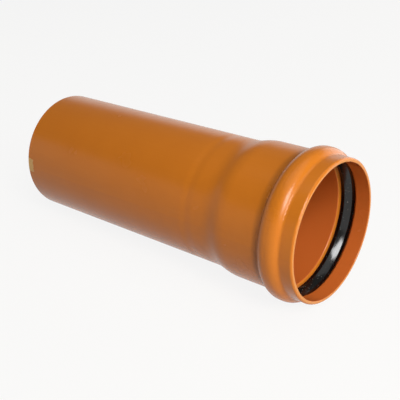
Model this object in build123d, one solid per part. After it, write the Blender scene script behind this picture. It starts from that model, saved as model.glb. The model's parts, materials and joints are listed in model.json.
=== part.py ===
from build123d import *
import os
from math import asin, atan, atan2, cos, degrees, hypot, radians, sin, tan

# A short length of solid-wall drain pipe with a push-fit socket, and the rubber ring that seals it.
# Sizes are in millimetres and degrees. Stations along the pipe are measured from the socket's mouth.

# The plain pipe, which ends in a square-cut spigot
pipe_diameter = 110.0
wall = 3.2
overall_length = 304.0
spigot_chamfer = 0.6

# The socket, swollen from the same wall to take the spigot of the next pipe
socket_play = 0.3  # radial gap round that spigot
socket_depth = 65.0  # from the mouth to the shoulder
shoulder_length = 24.0

# The mouth lip in front of the bead
mouth_flare = 0.8  # the lip stands this much wider than the socket
lip_length = 10.7
rim_radius = 1.8  # outer edge of the mouth
rim_break = 0.5  # inner edge of the mouth

# The bead, steeper at its back than towards the mouth
bead_rise = 5.3  # crown above the socket's outside
bead_crown_length = 2.4
bead_front_slope = 50.0
bead_back_slope = 60.0
bead_neck_radius = 2.5  # hollow between lip and bead
bead_crease_radius = 1.0  # hollow between bead and socket

# The groove inside the bead, which holds the ring. Its edges are tighter than the bead's
groove_lead = 0.25  # its crown starts this far in front of the bead's
groove_crown_length = 1.5
groove_front_slope = 60.0
groove_back_slope = 65.0
groove_front_edge = 1.5  # radius of the edge between lip and groove
groove_back_edge = 1.0  # radius of the edge between groove and socket

# The sealing ring: a body that fills the groove, and a lip that slopes back into the socket
ring_clearance = 0.2  # between the ring and its groove
ring_lip_gap = 0.1  # the relaxed lip stands this far clear of the spigot
ring_lead = 2.6  # the ring starts this far in front of the crown
ring_lip_run = 5.8  # along the pipe, from the ring's front to the lip's free edge
ring_lip_slope = 30.0
ring_lip_bulge = 0.2  # of the face that meets the spigot
ring_lip_tip = 1.4  # thickness of the lip at its free edge
ring_lip_taper = 4.0  # the lip thickens towards its root by this angle
ring_body_underside = 2.5  # from the lip's free edge to the body behind it
ring_edge_radius = 0.5


pipe_radius = pipe_diameter / 2
socket_radius = pipe_radius + socket_play + wall
lip_radius = socket_radius + mouth_flare
crown_radius = socket_radius + bead_rise


def flank_run(rise, slope):
    """Length along the pipe of two tangent arcs that climb by rise and meet at slope."""
    return rise / tan(radians(slope) / 2)


def flank_top_radius(rise, slope, foot_radius):
    """Radius of the upper of those arcs, where the lower one has foot_radius."""
    return rise / (1 - cos(radians(slope))) - foot_radius


neck_rise = crown_radius - lip_radius
crown_start = lip_length + flank_run(neck_rise, bead_front_slope)
crown_end = crown_start + bead_crown_length
groove_start = crown_start - groove_lead
groove_end = groove_start + groove_crown_length

shoulder_slope = 2 * degrees(atan((socket_radius - pipe_radius) / shoulder_length))
shoulder_radius = shoulder_length / (2 * sin(radians(shoulder_slope)))
shoulder_end = socket_depth + shoulder_length


def wall_line(inset, crown, slopes, feet):
    """A line along the wall from mouth to spigot, inset from the outside, with the pipe's axis along X.

    The crown's two stations, the slopes before and after it and the radii at their feet are pairs.
    """
    lip_level, crown_level = lip_radius - inset, crown_radius - inset
    socket_level, pipe_level = socket_radius - inset, pipe_radius - inset
    neck_start = crown[0] - flank_run(neck_rise, slopes[0])
    crease_end = crown[1] + flank_run(bead_rise, slopes[1])
    neck_top_radius = flank_top_radius(neck_rise, slopes[0], feet[0])
    crease_top_radius = flank_top_radius(bead_rise, slopes[1], feet[1])
    lip = Line((0, lip_level), (neck_start, lip_level))
    neck = JernArc(lip @ 1, (1, 0), feet[0], slopes[0])
    neck_top = JernArc(neck @ 1, neck % 1, neck_top_radius, -slopes[0])
    top = Line((crown[0], crown_level), (crown[1], crown_level))
    crease_top = JernArc(top @ 1, (1, 0), crease_top_radius, -slopes[1])
    crease = JernArc(crease_top @ 1, crease_top % 1, feet[1], slopes[1])
    socket = Line((crease_end, socket_level), (socket_depth, socket_level))
    shoulder_top = JernArc(socket @ 1, (1, 0), shoulder_radius - inset, -shoulder_slope)
    shoulder_foot = JernArc(shoulder_top @ 1, shoulder_top % 1, shoulder_radius + inset, shoulder_slope)
    barrel = Line((shoulder_end, pipe_level), (overall_length, pipe_level))
    mouth_end = [lip, neck, neck_top, top, crease_top, crease, socket]
    return Wire([*mouth_end, shoulder_top, shoulder_foot, barrel])


def outside_line():
    """The pipe's outside."""
    slopes = (bead_front_slope, bead_back_slope)
    return wall_line(0, (crown_start, crown_end), slopes, (bead_neck_radius, bead_crease_radius))


def inside_line():
    """The pipe's inside, with the groove."""
    slopes = (groove_front_slope, groove_back_slope)
    return wall_line(wall, (groove_start, groove_end), slopes, (groove_front_edge, groove_back_edge))


def area_inside(line):
    """The flat area between a line along the pipe and the pipe's axis."""
    start, end = line @ 0, line @ 1
    ends = Polyline(end, (end.X, 0), (start.X, 0), start)
    return make_face(Wire([*line.edges(), *ends.edges()]))


def corner(shape, station, radius):
    """The corner of a flat shape nearest to a point."""
    return shape.vertices().sort_by_distance((station, radius))[0]


def wall_section():
    """The pipe's wall, cut along its axis."""
    section = area_inside(outside_line()) - area_inside(inside_line())
    section = fillet(corner(section, 0, lip_radius), rim_radius)
    section = fillet(corner(section, 0, lip_radius - wall), rim_break)
    outer_edge = corner(section, overall_length, pipe_radius)
    inner_edge = corner(section, overall_length, pipe_radius - wall)
    return chamfer([outer_edge, inner_edge], spigot_chamfer)


def ring_section():
    """The sealing ring, cut along the pipe's axis. The groove shapes all of it but its underside."""
    slope = radians(ring_lip_slope)
    front = crown_start - ring_lead
    tip = Vector(front + ring_lip_run, pipe_radius + ring_lip_gap)
    heel = Vector(front, tip.Y + ring_lip_run * tan(slope))
    tip_back = tip + Vector(sin(slope), cos(slope)) * ring_lip_tip
    underside = tip.Y + ring_body_underside
    root_run = (underside - tip_back.Y) / tan(slope + radians(ring_lip_taper))
    root = Vector(tip_back.X - root_run, underside)
    body_end = [(socket_depth, underside), (socket_depth, crown_radius)]
    body_start = [(0, crown_radius), (0, heel.Y)]
    face = SagittaArc(heel, tip, -ring_lip_bulge)
    rest = Polyline(tip, tip_back, root, *body_end, *body_start, heel)
    groove = inside_line().offset_2d(ring_clearance, kind=Kind.INTERSECTION, side=Side.RIGHT, closed=False)
    section = make_face(Wire([face, *rest.edges()])) & area_inside(groove)
    edges = [corner(section, point.X, point.Y) for point in (heel, tip, tip_back)]
    return fillet(edges, ring_edge_radius)


os.makedirs("parts", exist_ok=True)

# At rest the pipe lies on its bead and on the lower edge of its spigot, so the spigot end is the lower
spigot_edge = overall_length - spigot_chamfer
crease_top_radius = flank_top_radius(bead_rise, bead_back_slope, bead_crease_radius)
support_run = spigot_edge - crown_end
support_drop = pipe_radius - (crown_radius - crease_top_radius)
bead_angle = asin(crease_top_radius / hypot(support_run, support_drop))
rest_tilt = bead_angle - atan2(support_drop, support_run)
mouth_height = spigot_edge * sin(rest_tilt) + pipe_radius * cos(rest_tilt)

at_rest = Pos(0, 0, mouth_height) * Rot(0, -degrees(rest_tilt), 0) * Rot(0, 0, 180)
pipe = at_rest * revolve(wall_section(), Axis.X)
sealing_ring = at_rest * revolve(ring_section(), Axis.X)
middle = pipe.bounding_box().center()
to_origin = Pos(-middle.X, -middle.Y, 0)

export_step(to_origin * pipe, "parts/pipe.step")
export_step(to_origin * sealing_ring, "parts/sealing_ring.step")
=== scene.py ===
import json
from math import asin, cos, radians, sin

import bpy
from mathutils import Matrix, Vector

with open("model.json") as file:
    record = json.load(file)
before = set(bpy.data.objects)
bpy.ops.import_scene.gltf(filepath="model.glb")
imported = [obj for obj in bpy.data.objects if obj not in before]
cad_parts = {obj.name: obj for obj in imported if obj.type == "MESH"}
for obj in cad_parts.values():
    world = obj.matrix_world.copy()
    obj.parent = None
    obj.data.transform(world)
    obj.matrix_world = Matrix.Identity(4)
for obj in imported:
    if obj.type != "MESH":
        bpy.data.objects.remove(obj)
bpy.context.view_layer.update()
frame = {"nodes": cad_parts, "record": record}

# A short drain pipe with a push-fit socket and its black sealing ring, on a pale studio floor.
# Lengths are in metres, angles in degrees and colours in linear light.

# Camera, at the photograph's viewing angle
camera_azimuth = 39.865
camera_elevation = 27.895
camera_place = (0.40050, -0.45987, 0.33805)
camera_lens = 67.48  # millimetres
camera_sensor = 36.0  # millimetres
camera_shift = 0.075

# Colours of the pipe's plastic
plastic_colour = (0.52, 0.154, 0.011)
plastic_dark = (0.47, 0.132, 0.008)
# Painted shade: a darker, redder copy of the plastic for the walls inside the pipe
plastic_shaded_inside = (0.48, 0.105, 0.021)
# Paler colour of the cut spigot end, also used as painted light on the edges that face the mouth
plastic_cut_and_painted_light = (0.56, 0.24, 0.060)
plastic_worn = (0.60, 0.38, 0.15)
# Painted shade for the crease behind the bead
plastic_crease_shade = (0.16, 0.050, 0.006)

# How much each of them covers what is under it, at most
cloud_share = 0.35
streak_share = 0.25
shaded_inside_share = 0.85
painted_light_share = 0.6
cut_share = (0.4, 0.9)
crease_shade_share = 0.6

# Finish of the pipe's plastic
streak_stretch = 0.02  # scale of the drawing lines along the pipe, against across it
streak_scale = 900.0
cloud_scale = 28.0
grain_scale = 2600.0
ragged_scale = 420.0
line_height = 0.000004
speckle_height = 0.000001
saw_mark_height = 0.0001
plastic_roughness = (0.23, 0.28)
worn_roughness = 0.6
plastic_specular = 0.28
painted_light_slope = (0.8, 0.97)  # painted light falls on an edge facing the mouth between these shares of its normal
inward_slope = (-0.03, -0.05)  # metres from the axis, times the share of the normal that points away from it
cut_depth = 0.0003

# Marks on the pipe, measured along it, and for the worn mark also upwards from its axis
waist_behind_shoulder = 0.017
waist_half_length = 0.007
waist_depth = 0.00028
# Painted shade in the crease behind the bead, measured along the pipe
crease_shade_behind_groove = 0.003
crease_shade_length = 0.006
crease_shade_front_fade = 0.002
worn_length = 0.0065
worn_bottom = -0.0038
worn_top = 0.0090
worn_side = (-0.0535, -0.0540)
worn_blur = 0.0004
worn_raggedness = 0.0007

# Ring rubber
rubber_colour = (0.004, 0.0038, 0.0035)
rubber_dust = (0.09, 0.085, 0.075)
rubber_line_scale = 2200.0
rubber_line_height = 0.000012
blotch_scale = 90.0
blotch_height = 0.00002
speck_scale = 700.0
speck_limits = (0.68, 0.76)  # of the noise that the dust lies on
rubber_roughness = (0.14, 0.19)
rubber_specular = 0.45

refractive_index = 1.5

# Floor
floor_size = 12.0
floor_colour = (0.60, 0.56, 0.48)
shadow_share = 0.12  # of the matte floor in what is seen near the pipe, where the rest is white
shadow_reach = (0.4, 1.5)  # the matte floor fades out between these distances

# Surroundings
ambient_level = 0.05  # of the light from them
ceiling_level = 0.18  # of the ceiling as it is seen, where the sides are 1
ceiling_rise = (0.25, 0.42)  # upward part of a direction, where the sides turn into the ceiling

# Lamps
light_aim = Vector((0.10, 0, 0.06))
light_distance = 1.6


def mount(name):
    """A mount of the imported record, by its name."""
    return next(entry for entry in frame["record"]["mounts"] if entry["name"] == name)


# The pipe's axis, and the even part of the pipe from its shoulder to its spigot edge
axis = -Vector(mount("spigot")["axis"])
axis_point = Vector(mount("spigot")["pos_m"])
axis_tilt = asin(axis.z)
half_length = mount("spigot")["dims"]["length_mm"] / 2000
socket_place = Vector(mount("socket")["pos_m"]) - axis_point
groove_end = socket_place.dot(axis) + mount("socket")["dims"]["length_mm"] / 2000


def node(tree, kind, inputs=None, **settings):
    """Adds a shader node. Inputs are values, or outputs of other nodes to link."""
    made = tree.nodes.new(kind)
    for name, value in settings.items():
        setattr(made, name, value)
    for name, value in (inputs or {}).items():
        if isinstance(value, bpy.types.NodeSocket):
            tree.links.new(value, made.inputs[name])
        else:
            made.inputs[name].default_value = value
    return made


def math(tree, operation, first, second=0.0):
    """One step of arithmetic."""
    return node(tree, "ShaderNodeMath", {0: first, 1: second}, operation=operation).outputs[0]


def noise(tree, vector, scale, detail):
    """Smooth noise from about 0.3 to 0.7."""
    inputs = {"Vector": vector, "Scale": scale, "Detail": detail, "Roughness": 0.5}
    return node(tree, "ShaderNodeTexNoise", inputs).outputs["Fac"]


def parts(tree, vector):
    """The three numbers of a vector."""
    return node(tree, "ShaderNodeSeparateXYZ", {"Vector": vector}).outputs


def total(tree, *values):
    """The sum of some numbers."""
    result = values[0]
    for value in values[1:]:
        result = math(tree, "ADD", result, value)
    return result


def product(tree, *values):
    """The product of some numbers."""
    result = values[0]
    for value in values[1:]:
        result = math(tree, "MULTIPLY", result, value)
    return result


def fade(tree, value, start, end):
    """0 before start, 1 past end and smooth between them. Start may be the larger one."""
    inputs = {"Value": value, "From Min": start, "From Max": end}
    made = node(tree, "ShaderNodeMapRange", inputs, interpolation_type="SMOOTHSTEP")
    return made.outputs["Result"]


def span(tree, value, low, high):
    """Takes noise from about 0.3 to 0.7 to the range from low to high."""
    inputs = {"Value": value, "From Min": 0.3, "From Max": 0.7, "To Min": low, "To Max": high}
    return node(tree, "ShaderNodeMapRange", inputs).outputs["Result"]


def between(tree, share, low, high):
    """Takes a share from 0 to 1 to the range from low to high."""
    return node(tree, "ShaderNodeMapRange", {"Value": share, "To Min": low, "To Max": high}).outputs["Result"]


def mix(tree, factor, first, second):
    """A mix of two colours, each a colour or an output."""
    made = node(tree, "ShaderNodeMix", data_type="RGBA")
    for name, value in (("Factor_Float", factor), ("A_Color", first), ("B_Color", second)):
        socket = next(s for s in made.inputs if s.identifier == name)
        if isinstance(value, bpy.types.NodeSocket):
            tree.links.new(value, socket)
        elif name == "Factor_Float":
            socket.default_value = value
        else:
            socket.default_value = (*value, 1.0)
    return next(s for s in made.outputs if s.identifier == "Result_Color")


def relief(tree, height):
    """The normal of a surface with bumps of a height in metres."""
    inputs = {"Height": height, "Distance": 1.0, "Strength": 1.0}
    return node(tree, "ShaderNodeBump", inputs).outputs["Normal"]


def new_material(name):
    """An empty material, with its node tree and its output node."""
    material = bpy.data.materials.new(name)
    material.use_nodes = True
    tree = material.node_tree
    tree.nodes.clear()
    output = node(tree, "ShaderNodeOutputMaterial")
    return material, tree, output


def pipe_coordinates(tree):
    """Places on the pipe, with X along its axis towards the mouth and the origin on the axis."""
    place = node(tree, "ShaderNodeTexCoord").outputs["Object"]
    inputs = {"Vector": place, "Location": axis_point, "Rotation": (0, -axis_tilt, 0)}
    return node(tree, "ShaderNodeMapping", inputs, vector_type="TEXTURE").outputs["Vector"]


def axis_distance(tree, across, up):
    """How far a place is from the pipe's axis."""
    return math(tree, "SQRT", total(tree, product(tree, across, across), product(tree, up, up)))


def facing_inwards(tree, across, up, normal):
    """1 on the walls inside the pipe and 0 outside."""
    outwards = total(tree, product(tree, across, normal["Y"]), product(tree, up, normal["Z"]))
    return fade(tree, outwards, *inward_slope)


def worn_mark(tree, along, across, up, ragged):
    """1 inside the small pale mark on the side of the spigot edge."""
    shift = span(tree, ragged, -worn_raggedness, worn_raggedness)
    along = math(tree, "ADD", along, shift)
    up = math(tree, "ADD", up, shift)
    end = worn_length - half_length
    inside_end = fade(tree, along, end + worn_blur, end - worn_blur)
    above = fade(tree, up, worn_bottom - worn_blur, worn_bottom + worn_blur)
    below = fade(tree, up, worn_top + worn_blur, worn_top - worn_blur)
    outside = fade(tree, across, *worn_side)
    return product(tree, inside_end, above, below, outside)


def crease_shade_mark(tree, along, inside, ragged):
    """Painted shade: 1 where it is darkest, in the crease behind the bead, and 0 away from it and inside the
    pipe.
    """
    start = groove_end - crease_shade_behind_groove
    behind = fade(tree, along, start - crease_shade_length, start)
    before = fade(tree, along, start + crease_shade_front_fade, start)
    outside = math(tree, "SUBTRACT", 1.0, inside)
    return product(tree, behind, before, outside, span(tree, ragged, 0.85, 1.0))


def plastic_material():
    """Satin orange-brown plastic with drawing lines, a shallow waist and a slightly worn end.

    It has painted shade inside, where it is redder and darker, painted light on the edges that face the
    mouth, which are paler, and painted shade in the crease behind the bead.
    """
    material, tree, output = new_material("pipe_plastic")
    place = pipe_coordinates(tree)
    along, across, up = parts(tree, place)
    normal = parts(tree, node(tree, "ShaderNodeTexCoord").outputs["Normal"])
    stretch = {"Vector": place, "Scale": (streak_stretch, 1, 1)}
    lengthwise = node(tree, "ShaderNodeMapping", stretch).outputs["Vector"]
    streaks = noise(tree, lengthwise, streak_scale, 3.0)
    clouds = noise(tree, place, cloud_scale, 3.0)
    grain = noise(tree, place, grain_scale, 2.0)
    ragged = noise(tree, place, ragged_scale, 2.0)

    inside = facing_inwards(tree, across, up, normal)
    # painted shade in the crease behind the bead
    crease_shade = crease_shade_mark(tree, along, inside, ragged)
    # painted light on the edges that face the mouth
    painted_light = fade(tree, normal["X"], *painted_light_slope)
    cut = fade(tree, along, -half_length, -half_length - cut_depth)
    worn = product(tree, worn_mark(tree, along, across, up, ragged), span(tree, grain, 0.75, 1.0))
    colour = mix(tree, span(tree, clouds, 0.0, cloud_share), plastic_colour, plastic_dark)
    colour = mix(tree, span(tree, streaks, 0.0, streak_share), colour, plastic_dark)
    # painted shade on the walls inside the pipe
    colour = mix(tree, product(tree, inside, shaded_inside_share), colour, plastic_shaded_inside)
    # painted shade in the crease behind the bead
    colour = mix(tree, product(tree, crease_shade, crease_shade_share), colour, plastic_crease_shade)
    # painted light on the edges that face the mouth
    colour = mix(tree, product(tree, painted_light, painted_light_share), colour, plastic_cut_and_painted_light)
    colour = mix(tree, product(tree, cut, span(tree, ragged, *cut_share)), colour, plastic_cut_and_painted_light)
    colour = mix(tree, worn, colour, plastic_worn)

    waist_place = half_length - waist_behind_shoulder
    from_waist = math(tree, "ABSOLUTE", math(tree, "SUBTRACT", along, waist_place))
    waist = product(tree, fade(tree, from_waist, 0.0, waist_half_length), waist_depth)
    lines = product(tree, streaks, line_height)
    speckle = product(tree, grain, speckle_height)
    saw_marks = product(tree, cut, ragged, saw_mark_height)
    rough_places = product(tree, math(tree, "MAXIMUM", cut, worn), worn_roughness)
    inputs = {
        "Base Color": colour,
        "Roughness": math(tree, "MAXIMUM", span(tree, clouds, *plastic_roughness), rough_places),
        "Normal": relief(tree, total(tree, lines, speckle, saw_marks, waist)),
        "IOR": refractive_index,
        "Specular IOR Level": plastic_specular,
    }
    shader = node(tree, "ShaderNodeBsdfPrincipled", inputs)
    tree.links.new(shader.outputs[0], output.inputs["Surface"])
    return material


def rubber_material():
    """Smooth black rubber with fine lines round it and a little dust."""
    material, tree, output = new_material("ring_rubber")
    place = pipe_coordinates(tree)
    along, across, up = parts(tree, place)
    on_section = {"X": along, "Y": axis_distance(tree, across, up)}
    section = node(tree, "ShaderNodeCombineXYZ", on_section).outputs[0]
    lines = noise(tree, section, rubber_line_scale, 2.0)
    blotches = noise(tree, place, blotch_scale, 3.0)
    specks = fade(tree, noise(tree, place, speck_scale, 1.0), *speck_limits)
    height = total(tree, product(tree, lines, rubber_line_height), product(tree, blotches, blotch_height))
    inputs = {
        "Base Color": mix(tree, specks, rubber_colour, rubber_dust),
        "Roughness": span(tree, blotches, *rubber_roughness),
        "Normal": relief(tree, height),
        "IOR": refractive_index,
        "Specular IOR Level": rubber_specular,
    }
    shader = node(tree, "ShaderNodeBsdfPrincipled", inputs)
    tree.links.new(shader.outputs[0], output.inputs["Surface"])
    return material


def seen_directly(tree):
    """1 for rays from the camera, mirrors and glass, and 0 for light that bounces on."""
    path = node(tree, "ShaderNodeLightPath").outputs
    seen = math(tree, "MAXIMUM", path["Is Camera Ray"], path["Is Glossy Ray"])
    return math(tree, "MAXIMUM", seen, path["Is Transmission Ray"])


def make_floor():
    """A pale matte floor that looks white and keeps the pipe's soft shadow."""
    half = floor_size / 2
    corners = [(-half, -half, 0), (half, -half, 0), (half, half, 0), (-half, half, 0)]
    mesh = bpy.data.meshes.new("floor")
    mesh.from_pydata(corners, [], [(0, 1, 2, 3)])
    floor = bpy.data.objects.new("floor", mesh)
    bpy.context.scene.collection.objects.link(floor)
    material, tree, output = new_material("floor_white")
    place = node(tree, "ShaderNodeTexCoord").outputs["Object"]
    away = node(tree, "ShaderNodeVectorMath", {0: place}, operation="LENGTH").outputs["Value"]
    far = fade(tree, away, *shadow_reach)
    white_share = math(tree, "MAXIMUM", far, 1 - shadow_share)
    matte = node(tree, "ShaderNodeBsdfDiffuse", {"Color": (*floor_colour, 1)}).outputs[0]
    white = node(tree, "ShaderNodeEmission", {"Color": (1, 1, 1, 1), "Strength": 1.0}).outputs[0]
    factor = product(tree, seen_directly(tree), white_share)
    surface = node(tree, "ShaderNodeMixShader", {0: factor, 1: matte, 2: white}).outputs[0]
    tree.links.new(surface, output.inputs["Surface"])
    floor.data.materials.append(material)


def make_world():
    """White surroundings with a dim ceiling, which light the object softly."""
    world = bpy.data.worlds.new("surroundings")
    world.use_nodes = True
    tree = world.node_tree
    tree.nodes.clear()
    output = node(tree, "ShaderNodeOutputWorld")
    direction = node(tree, "ShaderNodeTexCoord").outputs["Generated"]
    overhead = fade(tree, parts(tree, direction)["Z"], *ceiling_rise)
    seen_level = between(tree, overhead, 1.0, ceiling_level)
    strength = between(tree, seen_directly(tree), ambient_level, seen_level)
    background = node(tree, "ShaderNodeBackground", {"Color": (1, 1, 1, 1), "Strength": strength})
    tree.links.new(background.outputs[0], output.inputs["Surface"])
    bpy.context.scene.world = world


def direction_to(azimuth, elevation):
    """A direction from the object. Azimuth 0 points towards -Y and 90 towards +X."""
    azimuth, elevation = radians(azimuth), radians(elevation)
    return Vector((sin(azimuth) * cos(elevation), -cos(azimuth) * cos(elevation), sin(elevation)))


def place_object(name, data, location, towards):
    """Adds a lamp or camera that looks back from a direction."""
    placed = bpy.data.objects.new(name, data)
    placed.location = location
    placed.rotation_mode = "QUATERNION"
    placed.rotation_quaternion = (-towards).to_track_quat("-Z", "Y")
    bpy.context.scene.collection.objects.link(placed)
    return placed


def soft_box(name, azimuth, elevation, width, height, power):
    """An area light that shines on the socket from a direction round the object. Its power is in watts."""
    towards = direction_to(azimuth, elevation)
    light = bpy.data.lights.new(name, "AREA")
    light.shape = "RECTANGLE"
    light.size = width
    light.size_y = height
    light.energy = power
    place_object(name, light, light_aim + towards * light_distance, towards)


def make_camera():
    """The camera that the scene is seen through."""
    camera = bpy.data.cameras.new("camera")
    camera.sensor_width = camera_sensor
    camera.lens = camera_lens
    camera.shift_y = camera_shift
    camera.clip_start = 0.01
    back = direction_to(camera_azimuth, camera_elevation)
    bpy.context.scene.camera = place_object("camera", camera, camera_place, back)


def set_material(piece, material):
    """Gives a piece one material."""
    piece.data.materials.clear()
    piece.data.materials.append(material)


set_material(frame["nodes"]["pipe"], plastic_material())
set_material(frame["nodes"]["sealing_ring"], rubber_material())
make_floor()
make_world()
soft_box("key", 57, 41, 0.55, 0.75, 24.2)
soft_box("side", 86, 15, 0.7, 0.6, 13.0)
soft_box("top", 60, 85, 1.7, 1.7, 7.5)
soft_box("back", 168, 14, 1.6, 1.0, 8.0)
make_camera()
bpy.context.scene.view_settings.view_transform = "Standard"
